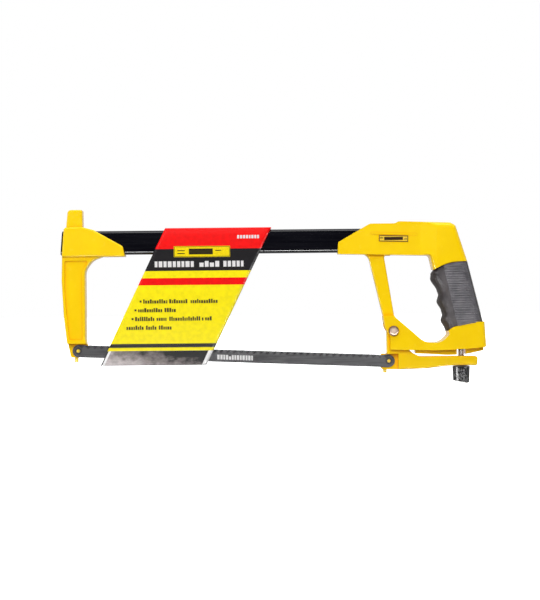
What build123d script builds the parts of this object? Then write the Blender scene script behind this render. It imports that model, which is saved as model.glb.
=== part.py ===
from build123d import *
import math
import os

# A 300 mm hacksaw: a rectangular tube joins a front casting to a handle casting, and a pivoted
# lever under the handle tensions the blade when its knob is turned up the tensioning screw.
#
# The model is drawn from a datum at the front blade pin: +X runs back along the tube to the handle,
# +Z runs up from the blade to the tube, and Y is the thickness with the pins pointing to -Y. It is
# written out with its origin moved to the centre of the hand grip.

# ---------------------------------------------------------------- driving dimensions, mm
# Blade
BLADE_SPAN = 300.0        # between the two hole centres
BLADE_HEIGHT = 12.3
BLADE_THICK = 0.65
BLADE_HOLE_D = 4.4
BLADE_DROP = 12.4         # the rear pin sits this much lower than the front pin
PIN_D = 3.2
PIN_PLAY = 0.05           # between a pin and the side of its hole that it pulls on
FLUSH_PIN_D = 3.6         # the pins under both seats
FLUSH_PIN_R = 0.5         # rounding of their tips
FLUSH_SHANK_D = 2.8       # the shank that is let into the foot
FLUSH_SHANK_DEEP = 3.4
FRONT_FLUSH_OUT = 4.6     # how far the front flush pin stands out
REAR_FLUSH_OUT = 3.2
FRONT_FOOT = -6.3         # underside of the front casting

# Tube
THROAT = 92.5             # front pin up to the underside of the tube
TUBE_H = 23.0
TUBE_W = 12.0
TUBE_WALL = 1.3
TUBE_FRONT = 14.8         # how far the tube runs ahead of the front pin
TUBE_REAR = 32.0          # how far it runs back past the rear pin
TUBE_CORNER_R = 3.6
TUBE_END_LEAN = 0.078     # the front end is cut leaning, mm along X for each mm of height

# Castings
WALL_UNDER = 2.0          # casting wall under the tube at the socket mouths
WALL_SIDE = 3.3
WALL_TOP = 4.5
PLATE_WIDTH = 28.0        # name plate
PLATE_HEIGHT = 6.0
LEG_HALF = 7.5            # half thickness of the front leg
STRUT_HALF = 6.2
SEAT_FAR = 6.6            # far face of both blade seats
SEAT_GAP = 0.12           # between the blade and the seat it lies against
EDGE_R = 1.6              # rounding along the casting edges

# Handle, lever and pivot
BOW_HALF = 13.5           # half thickness of the casting above and below the grip
CHEEK_HALF = 10.4         # half thickness over the two fork cheeks
LEVER_HALF = 6.3
FORK_GAP = 0.6            # lever to cheek, each side
PIVOT_UP = 29.1           # pivot above the rear pin
PIVOT_BACK = 4.05         # pivot behind the rear pin
PIVOT_D = 5.0
PIVOT_HEAD_D = 10.0
LEVER_BOSS_R = 6.4
RUNNING_FIT = 0.05        # radial clearance of a shaft in its hole

# Tensioning screw and knob
SCREW_BACK = 69.7         # screw axis behind the rear pin
SCREW_D = 6.0
SCREW_LENGTH = 40.0
TRUNNION_D = 10.0
TRUNNION_LENGTH = 15.0
TRUNNION_UP = 19.4        # trunnion centre above the rear pin
KNOB_D = 17.0
KNOB_LENGTH = 16.2
KNOB_FLUTES = 8
WASHER_GAP = 0.3          # lever to washer
WASHER_THICK = 1.2
WASHER_D = 11.6
INSERT_D = 9.4
INSERT_LENGTH = 9.0
SLOT_PLAY = 0.6           # screw to lever slot, each side

# Rubber grip
GRIP_HALF = 14.5
GRIP_THICK = 3.2          # rubber over the metal core
GRIP_BUMP = 2.0           # how far the finger bumps stand out

# Card sleeve
CARD_THICK = 0.5
CARD_GAP = 0.5            # card to tube
CARD_WIDTH = 102.0        # along the tube
CARD_LEFT = 84.3          # top left corner, behind the front pin
CARD_RAKE = 0.482         # lean of its slanted ends, mm along X for each mm of height
CARD_BELOW = 14.6         # bottom fold below the front pin
CARD_FOOT_HALF = 2.6      # half width of the bottom fold

# ---------------------------------------------------------------- derived places
REAR_X = math.sqrt(BLADE_SPAN**2 - BLADE_DROP**2)
REAR_Z = -BLADE_DROP
BLADE_TILT = math.degrees(math.atan2(BLADE_DROP, REAR_X))
BLADE_HALF = BLADE_THICK / 2
HOLE_PLAY = (BLADE_HOLE_D - PIN_D) / 2 - PIN_PLAY
SEAT_NEAR = BLADE_HALF + SEAT_GAP
PIN_TIP = -BLADE_HALF - 1.9
TUBE_TOP = THROAT + TUBE_H
SOCKET_HALF = TUBE_W / 2 + WALL_SIDE
PIVOT_X = REAR_X + PIVOT_BACK
PIVOT_Z = REAR_Z + PIVOT_UP
SCREW_X = REAR_X + SCREW_BACK
TRUNNION_Z = REAR_Z + TRUNNION_UP
LEVER_UNDER = REAR_Z - 4.9    # flat underside of the lever where the knob bears
REAR_FOOT = REAR_Z - 8.2      # underside of the lever below the rear pin
BEAM_UNDER = REAR_Z + 11.2    # underside of the handle's lower beam at the screw
WASHER_TOP = LEVER_UNDER - WASHER_GAP
INSERT_TOP = WASHER_TOP - WASHER_THICK - RUNNING_FIT
KNOB_TOP = LEVER_UNDER - 2 * WASHER_GAP
FORK_HALF = LEVER_HALF + FORK_GAP
BOW_TOP = THROAT - 9.5        # the grip's top edge at its back
BOW_BOTTOM = REAR_Z + 37.4    # the grip's bottom edge at its back
PAD = 3.0                     # how far a cutting tool runs past what it cuts

GRIP_CENTRE = Vector(REAR_X + 66.5, 0, (BOW_TOP + BOW_BOTTOM) / 2)


# ---------------------------------------------------------------- shared helpers
def rear(dx, dz):
    """A point given from the rear blade pin."""
    return REAR_X + dx, REAR_Z + dz


def high(dx, dz):
    """A point given back from the rear blade pin and up from the tube's underside."""
    return REAR_X + dx, THROAT + dz


def outline(corners):
    """A closed outline from corners, each rounded where it has a third value, its radius.

    A rounding takes up less than half of either side that it joins.
    """
    places = [Vector(c[0], c[1]) for c in corners]
    radii = [c[2] if len(c) > 2 else 0 for c in corners]
    arcs = []
    for i, (place, radius) in enumerate(zip(places, radii)):
        back = places[i - 1] - place
        ahead = places[(i + 1) % len(places)] - place
        half = math.radians(back.get_angle(ahead)) / 2
        room = 0.49 * min(back.length, ahead.length)
        reach = min(radius / math.tan(half), room)
        radius = reach * math.tan(half)
        back, ahead = back.normalized(), ahead.normalized()
        inward = (back + ahead).normalized()
        middle = place + inward * (radius / math.sin(half) - radius)
        arcs.append((place + back * reach, middle, place + ahead * reach))
    edges = []
    for i, (start, middle, end) in enumerate(arcs):
        if radii[i]:
            edges.append(ThreePointArc(start, middle, end))
        following = arcs[(i + 1) % len(arcs)][0]
        if (following - end).length > 1e-4:
            edges.append(Line(end, following))
    return make_face(edges)


def plate(corners, near, far):
    """An XZ outline made solid from y = near to y = far."""
    return extrude(Plane.XZ.offset(-far) * outline(corners), far - near)


def plan(corners, low, high_z):
    """An XY outline made solid from z = low to z = high_z."""
    return extrude(Plane.XY.offset(low) * outline(corners), high_z - low)


def block(x0, x1, y0, y1, z0, z1):
    """A plain box between two corners."""
    centre = Pos((x0 + x1) / 2, (y0 + y1) / 2, (z0 + z1) / 2)
    return centre * Box(x1 - x0, y1 - y0, z1 - z0)


def cross_pin(x, z, diameter, near, far):
    """A cylinder along Y."""
    start = Pos(x, near, z) * Rot(-90, 0, 0)
    return start * Cylinder(diameter / 2, far - near, align=(Align.CENTER, Align.CENTER, Align.MIN))


def upright(x, y, diameter, low, high_z):
    """A cylinder along Z."""
    return Pos(x, y, low) * Cylinder(
        diameter / 2, high_z - low, align=(Align.CENTER, Align.CENTER, Align.MIN)
    )


def mirrored_plan(half_widths):
    """Plan corners from (x, half width) stations, mirrored about y = 0."""
    near_side = [(x, -half) for x, half in half_widths]
    far_side = [(x, half) for x, half in reversed(half_widths)]
    return near_side + far_side


def soften(solid, half, radius, lowest=-1e3, highest=1e3):
    """Rounds the rims of the two flat flanks at y = -half and y = half between two heights."""
    rims = solid.edges().filter_by(
        lambda e: all(abs(abs(v.Y) - half) < 1e-4 for v in e.vertices())
        and abs(abs(e.center().Y) - half) < 1e-4
        and lowest < e.center().Z < highest
    )
    return fillet(rims, radius)


# ---------------------------------------------------------------- tube
def tube_section(grow):
    """The tube's outer section in the YZ plane, grown on every side."""
    centre = Pos(0, THROAT + TUBE_H / 2)
    return centre * RectangleRounded(
        TUBE_W + 2 * grow, TUBE_H + 2 * grow, max(TUBE_CORNER_R + grow, 0.5)
    )


def tube_block(grow, start, end):
    """A bar of the tube's section between two places along X."""
    return extrude(Plane.YZ.offset(start) * tube_section(grow), end - start)


def front_end_cutter(inset):
    """Removes everything ahead of the tube's leaning front end."""
    mouth_x = -TUBE_FRONT + inset
    lean = TUBE_END_LEAN * TUBE_H / 2
    return plate(
        [
            (mouth_x - lean * 3, THROAT - TUBE_H),
            (mouth_x + lean * 3, TUBE_TOP + TUBE_H),
            (mouth_x - 2 * TUBE_H, TUBE_TOP + TUBE_H),
            (mouth_x - 2 * TUBE_H, THROAT - TUBE_H),
        ],
        -TUBE_W,
        TUBE_W,
    )


def make_tube():
    rear_end = REAR_X + TUBE_REAR
    outer = tube_block(0, -TUBE_FRONT - PAD, rear_end)
    inner = tube_block(-TUBE_WALL, -TUBE_FRONT - 2 * PAD, rear_end + PAD)
    tube = outer - inner - front_end_cutter(0)
    for pin in front_pin_bodies() + rear_pin_bodies():
        tube -= pin
    return tube


def make_end_plug():
    depth = 9.0
    body = tube_block(-TUBE_WALL, -TUBE_FRONT - PAD, -TUBE_FRONT + depth)
    hollow_back = tube_block(-2 * TUBE_WALL, -TUBE_FRONT + depth / 2, -TUBE_FRONT + depth + PAD)
    return body - hollow_back - front_end_cutter(0.3)


# ---------------------------------------------------------------- front casting
def make_front_casting():
    under = THROAT - WALL_UNDER
    shoulder = TUBE_TOP + 3.5
    socket = plate(
        [
            (-14.2, under, 1.0),
            (-12.0, shoulder, 3.0),
            (5.8, shoulder + 0.3, 4.0),
            (16.5, TUBE_TOP + 0.9, 2.0),
            (44.6, THROAT + 8.0, 3.5),
            (46.6, under, 0.8),
        ],
        -SOCKET_HALF,
        SOCKET_HALF,
    )
    socket = soften(socket, SOCKET_HALF, EDGE_R)
    nose = plate(
        [
            (-10.2, shoulder - 4),
            (-10.0, shoulder + 1, 2.0),
            (-8.4, shoulder + 17.0, 3.4),
            (5.6, shoulder + 17.0, 1.8),
            (5.8, shoulder - 4),
        ],
        -STRUT_HALF,
        STRUT_HALF,
    )
    nose = soften(nose, STRUT_HALF, EDGE_R)
    leg = plate(
        [
            (-14.2, under + 1.5),
            (-14.8, THROAT * 0.73, 60.0),
            (-13.0, THROAT * 0.36, 60.0),
            (-10.2, 8.0, 20.0),
            (-7.2, FRONT_FOOT, 2.2),
            (8.9, FRONT_FOOT, 1.8),
            (8.9, 4.6, 6.0),
            (7.8, 11.5, 6.0),
            (7.8, under - 13.0, 14.0),
            (15.0, under - 3.5, 14.0),
            (26.0, under + 0.6),
            (26.0, under + 1.5),
        ],
        -LEG_HALF,
        LEG_HALF,
    )
    leg = soften(leg, LEG_HALF, EDGE_R, highest=under)
    for side in (-1, 1):
        leg -= leg_panel(side, under)
    casting = socket + nose + leg
    casting -= seat_cutter()
    casting -= tube_block(0, -TUBE_FRONT - 2 * PAD, 60.0)
    casting -= cross_pin(0, 0, PIN_D, SEAT_NEAR - PAD, SEAT_FAR - 0.6)
    casting -= front_flush_pin()
    for pin in front_pin_bodies():
        casting -= pin
    return casting


def leg_panel(side, under):
    """The shallow recess cast into one side of the leg."""
    depth = 1.3
    corners = [
        (-11.6, under - 3.6, 1.5),
        (-11.8, THROAT * 0.6, 60.0),
        (-7.9, 10.8, 2.0),
        (5.2, 10.8, 1.5),
        (5.2, under - 14.0, 12.0),
        (11.5, under - 3.6, 1.5),
    ]
    face = side * LEG_HALF
    near, far = sorted((face - side * depth, face + side * PAD))
    return plate(corners, near, far)


def seat_cutter():
    """Clears the near half of the leg's foot, and its far skin, to leave the blade seat."""
    step = 7.2
    near_side = block(-20, 20, -LEG_HALF - PAD, SEAT_NEAR, -12, step)
    far_side = block(-20, 20, SEAT_FAR, LEG_HALF + PAD, -12, step)
    return near_side + far_side


def flush_pin(x, seat_bottom, stand_out):
    """A pin under a seat, for the blade turned a quarter turn, on a thinner shank let into the metal."""
    y = (SEAT_NEAR + SEAT_FAR) / 2
    shank = upright(x, y, FLUSH_SHANK_D, seat_bottom - 1.0, seat_bottom + FLUSH_SHANK_DEEP)
    return shank + upright(x, y, FLUSH_PIN_D, seat_bottom - stand_out, seat_bottom)


def front_flush_pin():
    return flush_pin(-2.2, FRONT_FOOT, FRONT_FLUSH_OUT)


def rear_flush_pin():
    return flush_pin(REAR_X - 3.7, REAR_FOOT, REAR_FLUSH_OUT)


def blunt(pin):
    """Rounds off the free lower rim of an upright pin."""
    rim = pin.edges().filter_by(GeomType.CIRCLE).sort_by(Axis.Z)[0]
    return fillet(rim, FLUSH_PIN_R)


def front_pin_bodies():
    """Two drive pins from the far side, through the casting wall and the tube wall."""
    return [
        cross_pin(x, THROAT + TUBE_H * 0.42, 4.0, TUBE_W / 2 - TUBE_WALL - 1.0, SOCKET_HALF)
        for x in (2.0, 28.0)
    ]


def rear_pin_bodies():
    """Two drive pins from the far side, through the casting wall and the tube wall."""
    return [
        cross_pin(REAR_X + x, THROAT + TUBE_H * 0.42, 4.0, TUBE_W / 2 - TUBE_WALL - 1.0, SOCKET_HALF)
        for x in (-18.0, 20.0)
    ]


def blade_pin(x, z):
    """A blade pin standing out of its seat on the near side, with a blunt tip."""
    pin = cross_pin(x, z, PIN_D, PIN_TIP, SEAT_FAR - 0.6)
    tip = pin.edges().filter_by(GeomType.CIRCLE).sort_by(Axis.Y)[0]
    return chamfer(tip, 0.4)


# ---------------------------------------------------------------- handle casting
def grip_top_edge():
    """Corners of the joint line between the casting and the top of the grip, front to back."""
    front = high(42.6, -17.5)
    knee = high(57.8, -9.9)
    back = (REAR_X + 76.6, BOW_TOP)
    return front, knee, back


def grip_bottom_edge():
    """Corners of the joint line between the casting and the bottom of the grip, back to front."""
    back = (REAR_X + 91.3, BOW_BOTTOM)
    knee = rear(80.0, 36.9)
    low_knee = rear(60.5, 32.2)
    front = rear(56.2, 28.6)
    return back, knee, low_knee, front


def flare(stations, low, high_z):
    """A block as tall as asked, whose half thickness follows (x behind the rear pin, half) stations."""
    corners = mirrored_plan([(REAR_X + x, half) for x, half in stations])
    return plan(corners, low, high_z)


def make_upper_arm():
    """The socket for the tube, running back into the top of the bow."""
    front, knee, back = grip_top_edge()
    top = WALL_TOP + TUBE_H
    step = 1.2      # the grip stands out this much past the arm's back edge
    arm = plate(
        [
            (*high(-48.9, 0.5 - WALL_UNDER), 1.0),
            (*high(-48.3, 9.9), 1.5),
            (*high(-17.7, top), 5.0),
            (*high(6.3, top), 6.0),
            (*high(9.8, top + 2.0), 5.0),
            (*high(60.5 - step, top + 0.4), 3.0),
            (*high(65.5 - step, top - 2.4), 3.0),
            (back[0] - step, back[1]),
            (*knee, 70.0),
            front,
            (*high(39.5, -3.6), 3.0),
        ],
        -BOW_HALF,
        BOW_HALF,
    )
    slope = arm.edges().filter_by(GeomType.LINE).filter_by(Plane.XZ, tolerance=1).sort_by(Axis.X)
    long_back = slope.filter_by(lambda e: e.length > 20 and e.center().X > REAR_X + 66)
    arm = fillet(long_back, 5.0)
    shape = flare(
        [
            (-60, SOCKET_HALF - 0.6),
            (-30, SOCKET_HALF),
            (30, SOCKET_HALF + 0.4),
            (46, BOW_HALF),
            (110, BOW_HALF),
        ],
        THROAT - 40,
        TUBE_TOP + 40,
    )
    return arm & shape


def make_strut():
    """The narrow front strut of the handle, from the socket down to the fork."""
    top = -WALL_UNDER + 0.4
    strut = plate(
        [
            high(-33.0, top + 2.0),
            high(-33.0, top),
            (*high(-19.6, top), 12.0),
            rear(-5.3, 42.0),
            rear(5.4, 42.0),
            (*high(-4.3, -3.4), 2.0),
            high(2.0, -3.4),
            high(2.0, top + 2.0),
        ],
        -STRUT_HALF,
        STRUT_HALF,
    )
    return soften(strut, STRUT_HALF, EDGE_R, highest=THROAT - WALL_UNDER)


def make_lower_beam():
    """The fork, the beam under the hand opening and the foot of the bow."""
    back, knee, low_knee, front = grip_bottom_edge()
    beam = plate(
        [
            (*rear(-6.1, 43.9), 1.0),
            (*rear(-4.2, 32.4), 6.0),
            (*rear(0.7, 23.4), 3.0),
            (*rear(0.7, 11.2), 1.5),
            (*rear(18.3, 10.5), 60.0),
            (*rear(45.0, 10.2), 60.0),
            (REAR_X + 72.0, BEAM_UNDER, 60.0),
            rear(91.3, 12.9),
            rear(92.8, 14.4),
            back,
            (*knee, 30.0),
            (*low_knee, 6.0),
            front,
            (*rear(57.4, 25.4), 16.0),
            (*rear(49.6, 17.6), 16.0),
            (*rear(34.2, 17.5), 16.5),
            (*rear(5.3, 42.7), 3.0),
            rear(5.3, 43.9),
        ],
        -BOW_HALF,
        BOW_HALF,
    )
    heel = beam.edges().filter_by(
        lambda e: e.center().X > REAR_X + 91 and e.length > 6 and abs(abs(e.center().Y) - BOW_HALF) < 1e-3
    )
    beam = fillet(heel, 4.0)
    shape = flare(
        [(-20, CHEEK_HALF), (30, CHEEK_HALF), (52, BOW_HALF), (110, BOW_HALF)],
        REAR_Z - 20,
        REAR_Z + 60,
    )
    return beam & shape


def make_tongue():
    """The narrower web that hangs under the beam, above the lever."""
    half = LEVER_HALF - 0.8
    tongue = plate(
        [
            (*rear(25.0, 16.0), 0.5),
            (*rear(25.0, 7.1), 1.0),
            (*rear(38.0, 6.5), 60.0),
            (*rear(56.0, 5.3), 60.0),
            (*rear(73.0, 5.9), 60.0),
            (*rear(90.6, 9.6), 1.0),
            (*rear(91.0, 16.0), 0.5),
        ],
        -half,
        half,
    )
    return tongue


def make_bow_core():
    """The metal inside the grip, running on into the casting at both ends."""
    half = GRIP_HALF - GRIP_THICK - 1.0
    inset = Vector(GRIP_THICK + 0.9, 0)
    top = Vector(*grip_top_edge()[2]) - inset
    bottom = Vector(*grip_bottom_edge()[0]) - inset
    run_on = (top - bottom) * 0.12
    core = plate(
        [
            (*rear(60.0, 20.0), 4.0),
            (*rear(57.5, 42.0), 60.0),
            (*high(47.0, -22.0), 60.0),
            (*high(46.0, 4.0), 4.0),
            (*high(66.0, 4.0), 4.0),
            (top.X + run_on.X, top.Y + run_on.Y, 4.0),
            (bottom.X - run_on.X, bottom.Y - run_on.Y, 4.0),
            (*rear(86.0, 20.0), 4.0),
        ],
        -half,
        half,
    )
    return soften(core, half, 4.0)


def fork_slot():
    """The room inside the fork for the lever's boss and arm."""
    radius = LEVER_BOSS_R + 0.8
    corners = [
        (PIVOT_X - 30, PIVOT_Z + radius),
        (PIVOT_X + radius, PIVOT_Z + radius, radius - 0.1),
        (PIVOT_X + radius, PIVOT_Z - 5.0, 1.0),
        (*rear(24.6, 12.0), 1.0),
        rear(24.6, -10.0),
        (PIVOT_X - 30, REAR_Z - 10.0),
    ]
    return plate(corners, -FORK_HALF, FORK_HALF)


def screw_passage():
    """The slot that lets the screw lean below its trunnion, open on both flanks below the beam."""
    lean = 1.6
    r = SCREW_D / 2 + 0.6
    slot = plate(
        [
            (SCREW_X - r, TRUNNION_Z + 2.0),
            (SCREW_X - r - lean, REAR_Z),
            (SCREW_X + r, REAR_Z),
            (SCREW_X + r, TRUNNION_Z + 2.0),
        ],
        -r,
        r,
    )
    return slot + block(SCREW_X - r - 1.0, SCREW_X + r, -BOW_HALF, BOW_HALF, REAR_Z, BEAM_UNDER)


def trunnion_bore():
    """The cross hole that the trunnion turns in, open on the far side."""
    near = -TRUNNION_LENGTH / 2 - 0.5
    return cross_pin(SCREW_X, TRUNNION_Z, TRUNNION_D + 2 * RUNNING_FIT, near, BOW_HALF + PAD)


def plate_place():
    """Where the name plate sits on the near side of the socket."""
    x, z = high(4.8, 12.9)
    return Pos(x, -SOCKET_HALF - 0.2, z) * Rot(0, 1.6, 0)


def make_name_plate():
    """A plain plate with a raised rim and a raised bar, in a shallow seat."""
    inside = 0.3
    rim = 0.7
    base = front_box(PLATE_WIDTH, PLATE_HEIGHT, 0.5)
    window = front_box(PLATE_WIDTH - 2 * rim, PLATE_HEIGHT - 2 * rim, 1.0)
    frame = front_box(PLATE_WIDTH, PLATE_HEIGHT, 0.75) - window
    bar = front_box(PLATE_WIDTH * 0.55, PLATE_HEIGHT * 0.3, 0.7)
    return plate_place() * Pos(0, inside, 0) * (base + frame + bar)


def front_box(width, height, depth):
    """A box centred on X and Z that stands out towards the near side."""
    return Box(width, depth, height, align=(Align.CENTER, Align.MAX, Align.CENTER))


def raised_strip():
    """The long low rib cast on both flanks above the name plate."""
    x, z = high(5.3, 17.5)
    return Pos(x, 0, z) * Rot(0, 2.0, 0) * Box(44.0, 2 * (SOCKET_HALF + 0.8), 1.6)


def make_handle_casting():
    casting = make_upper_arm() + raised_strip() + make_strut()
    casting = casting + make_lower_beam() + make_tongue() + make_bow_core()
    casting -= fork_slot()
    casting -= screw_passage()
    casting -= trunnion_bore()
    casting -= tube_block(0, REAR_X - 80, REAR_X + TUBE_REAR)
    casting -= cross_pin(PIVOT_X, PIVOT_Z, PIVOT_D, -BOW_HALF, BOW_HALF)
    casting -= make_name_plate()
    for pin in rear_pin_bodies():
        casting -= pin
    return casting


# ---------------------------------------------------------------- grip
def grip_outline():
    """The grip's side view with its finger bumps, front edge first."""
    top_front, top_knee, top_back = grip_top_edge()
    bottom_back, bottom_knee, bottom_low_knee, bottom_front = grip_bottom_edge()
    front_x, front_z = bottom_front
    run_x = top_front[0] - front_x
    run_z = top_front[1] - front_z
    bumps = []
    for share, out in ((0.14, 1), (0.28, -1), (0.47, 1), (0.63, -1), (0.85, 1)):
        x = front_x + run_x * share - 0.8 * GRIP_BUMP - GRIP_BUMP * out
        bumps.append((x, front_z + run_z * share, 7.0))
    return (
        [bottom_back, (*bottom_knee, 30.0), (*bottom_low_knee, 6.0), bottom_front]
        + bumps
        + [top_front, (*top_knee, 70.0), top_back]
    )


def make_grip():
    grip = plate(grip_outline(), -GRIP_HALF, GRIP_HALF)
    return grip - make_bow_core()


# ---------------------------------------------------------------- pivot
def make_pivot_rivet():
    shank = cross_pin(PIVOT_X, PIVOT_Z, PIVOT_D, -CHEEK_HALF - 0.5, CHEEK_HALF + 0.5)
    rivet = shank
    for side in (-1, 1):
        head = cross_pin(PIVOT_X, PIVOT_Z, PIVOT_HEAD_D, CHEEK_HALF, CHEEK_HALF + 2.4)
        rim = head.edges().filter_by(GeomType.CIRCLE).sort_by(Axis.Y)[-1]
        head = fillet(rim, 2.1)
        rivet += head if side > 0 else mirror(head, Plane.XZ)
    return rivet


def make_pivot_washers():
    washers = []
    thickness = FORK_GAP - 0.1
    for side in (-1, 1):
        disc = cross_pin(PIVOT_X, PIVOT_Z, PIVOT_D + 5.0, FORK_HALF - thickness, FORK_HALF)
        disc -= cross_pin(PIVOT_X, PIVOT_Z, PIVOT_D, 0, FORK_HALF + PAD)
        washers.append(disc if side > 0 else mirror(disc, Plane.XZ))
    return washers


# ---------------------------------------------------------------- tension lever
def make_lever():
    boss = LEVER_BOSS_R
    lever = plate(
        [
            (PIVOT_X - boss, PIVOT_Z + boss, boss - 0.05),
            (*rear(-2.2, 7.1), 1.0),
            (*rear(-7.6, 7.1), 1.0),
            (REAR_X - 7.8, REAR_FOOT, 2.5),
            (REAR_X + 9.0, REAR_FOOT, 60.0),
            (*rear(36.0, -7.4), 60.0),
            (*rear(58.0, -4.9), 60.0),
            (*rear(84.6, -4.9), 2.0),
            (*rear(85.4, 4.2), 2.5),
            (*rear(62.0, 4.4), 60.0),
            (*rear(29.0, 4.4), 8.0),
            (*rear(22.8, 7.6), 4.0),
            (PIVOT_X + boss, PIVOT_Z - 11.0, 8.0),
            (PIVOT_X + boss, PIVOT_Z + boss, boss - 0.05),
        ],
        -LEVER_HALF,
        LEVER_HALF,
    )
    lever = soften(lever, LEVER_HALF, EDGE_R)
    lever -= block(REAR_X - 12, REAR_X + 8.8, -LEVER_HALF - PAD, SEAT_NEAR, REAR_Z - 12, REAR_Z + 7.1)
    lever -= cross_pin(REAR_X, REAR_Z, PIN_D, SEAT_NEAR - PAD, SEAT_FAR - 0.6)
    lever -= rear_flush_pin()
    lever -= cross_pin(PIVOT_X, PIVOT_Z, PIVOT_D + 2 * RUNNING_FIT, -LEVER_HALF - PAD, LEVER_HALF + PAD)
    slot = SlotOverall(SCREW_D + 2 * SLOT_PLAY + 0.6, SCREW_D + 2 * SLOT_PLAY)
    lever -= extrude(Plane.XY.offset(REAR_Z - 12) * (Pos(SCREW_X - 0.2, 0) * slot), 30)
    return lever


# ---------------------------------------------------------------- screw and knob
def make_screw():
    top = TRUNNION_Z + math.sqrt(TRUNNION_D**2 - SCREW_D**2) / 2
    screw = upright(SCREW_X, 0, SCREW_D, top - SCREW_LENGTH, top)
    rims = screw.edges().filter_by(GeomType.CIRCLE)
    return chamfer(rims, 0.6)


def make_trunnion():
    half = TRUNNION_LENGTH / 2
    barrel = cross_pin(SCREW_X, TRUNNION_Z, TRUNNION_D, -half, half)
    barrel = chamfer(barrel.edges().filter_by(GeomType.CIRCLE), 0.5)
    return barrel - upright(SCREW_X, 0, SCREW_D, TRUNNION_Z - TRUNNION_D, TRUNNION_Z + TRUNNION_D)


def make_washer():
    washer = upright(SCREW_X, 0, WASHER_D, WASHER_TOP - WASHER_THICK, WASHER_TOP)
    return washer - upright(SCREW_X, 0, SCREW_D + 0.4, WASHER_TOP - PAD, WASHER_TOP + PAD)


def make_insert():
    insert = upright(SCREW_X, 0, INSERT_D, INSERT_TOP - INSERT_LENGTH, INSERT_TOP)
    bore = SCREW_D + 2 * RUNNING_FIT
    return insert - upright(SCREW_X, 0, bore, INSERT_TOP - 2 * INSERT_LENGTH, INSERT_TOP + PAD)


def make_knob():
    bottom = KNOB_TOP - KNOB_LENGTH
    flare_out = 0.7
    body = Pos(SCREW_X, 0, bottom) * Cone(
        KNOB_D / 2 - flare_out, KNOB_D / 2, KNOB_LENGTH, align=(Align.CENTER, Align.CENTER, Align.MIN)
    )
    skew = Pos(SCREW_X, 0, bottom + 0.9) * Rot(0, 11, 0)
    body -= skew * Box(3 * KNOB_D, 3 * KNOB_D, 10, align=(Align.CENTER, Align.CENTER, Align.MAX))
    body = fillet(body.faces().sort_by(Axis.Z)[0].edges(), 1.6)
    body = fillet(body.edges().filter_by(GeomType.CIRCLE).sort_by(Axis.Z)[-1], 0.8)
    for i in range(KNOB_FLUTES):
        angle = math.radians(10 + 360 * (i + 0.5) / KNOB_FLUTES)
        x = SCREW_X + (KNOB_D / 2 + 0.5) * math.cos(angle)
        y = (KNOB_D / 2 + 0.5) * math.sin(angle)
        body -= upright(x, y, 4.0, bottom - PAD, KNOB_TOP - 1.6)
    body -= upright(SCREW_X, 0, WASHER_D + 0.6, INSERT_TOP - 0.1, KNOB_TOP + PAD)
    body -= upright(SCREW_X, 0, INSERT_D, INSERT_TOP - INSERT_LENGTH, KNOB_TOP)
    body -= upright(SCREW_X, 0, SCREW_D + 0.8, bottom + 2.5, INSERT_TOP)
    return body


# ---------------------------------------------------------------- blade
def make_blade():
    """The blade lying taut: its holes sit back from the front pin and ahead of the rear pin."""
    centre = Pos(REAR_X / 2, 0, REAR_Z / 2) * Rot(0, BLADE_TILT, 0)
    half_span = BLADE_SPAN / 2 - HOLE_PLAY
    bar = plate(
        [
            (-half_span - 6.2, -BLADE_HEIGHT / 2, 5.6),
            (half_span + 6.2, -BLADE_HEIGHT / 2, 5.6),
            (half_span + 6.2, BLADE_HEIGHT / 2, 5.6),
            (-half_span - 6.2, BLADE_HEIGHT / 2, 5.6),
        ],
        -BLADE_HALF,
        BLADE_HALF,
    )
    for x in (-half_span, half_span):
        bar -= cross_pin(x, 0, BLADE_HOLE_D, -BLADE_HALF - PAD, BLADE_HALF + PAD)
    return centre * bar


# ---------------------------------------------------------------- card sleeve
def sleeve_section(inset):
    """The sleeve in the YZ plane: square over the tube, tapering to a narrow fold at the bottom."""
    half = TUBE_W / 2 + CARD_GAP + CARD_THICK - inset
    top = TUBE_TOP + CARD_GAP + CARD_THICK - inset + 1.2
    foot = CARD_FOOT_HALF - inset
    bottom = -CARD_BELOW + inset
    crease = THROAT + 3.0
    corners = [
        (-foot, bottom, 1.6),
        (foot, bottom, 1.6),
        (half, crease, 30.0),
        (half, top, 2.4 - inset),
        (-half, top, 2.4 - inset),
        (-half, crease, 30.0),
    ]
    return Plane.YZ * outline(corners)


def make_sleeve():
    length = CARD_LEFT + CARD_WIDTH + 40
    outer = extrude(sleeve_section(0), length)
    inner = extrude(sleeve_section(CARD_THICK), length)
    top = TUBE_TOP + 10
    bottom = -CARD_BELOW - 10
    shift_top = CARD_RAKE * (top - TUBE_TOP)
    shift_bottom = CARD_RAKE * (bottom - TUBE_TOP)
    rake = plate(
        [
            (CARD_LEFT + shift_bottom, bottom),
            (CARD_LEFT + CARD_WIDTH + shift_bottom, bottom),
            (CARD_LEFT + CARD_WIDTH + shift_top, top),
            (CARD_LEFT + shift_top, top),
        ],
        -TUBE_W,
        TUBE_W,
    )
    return (outer - inner) & rake


# ---------------------------------------------------------------- output
def save(name, shape):
    """Writes one piece, or one group of like pieces, with the origin moved to the grip centre."""
    solids = shape if isinstance(shape, list) else [shape]
    moved = [Pos(-GRIP_CENTRE.X, -GRIP_CENTRE.Y, -GRIP_CENTRE.Z) * solid for solid in solids]
    whole = moved[0] if len(moved) == 1 else Compound(children=moved)
    export_step(whole, f"parts/{name}.step")


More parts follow.
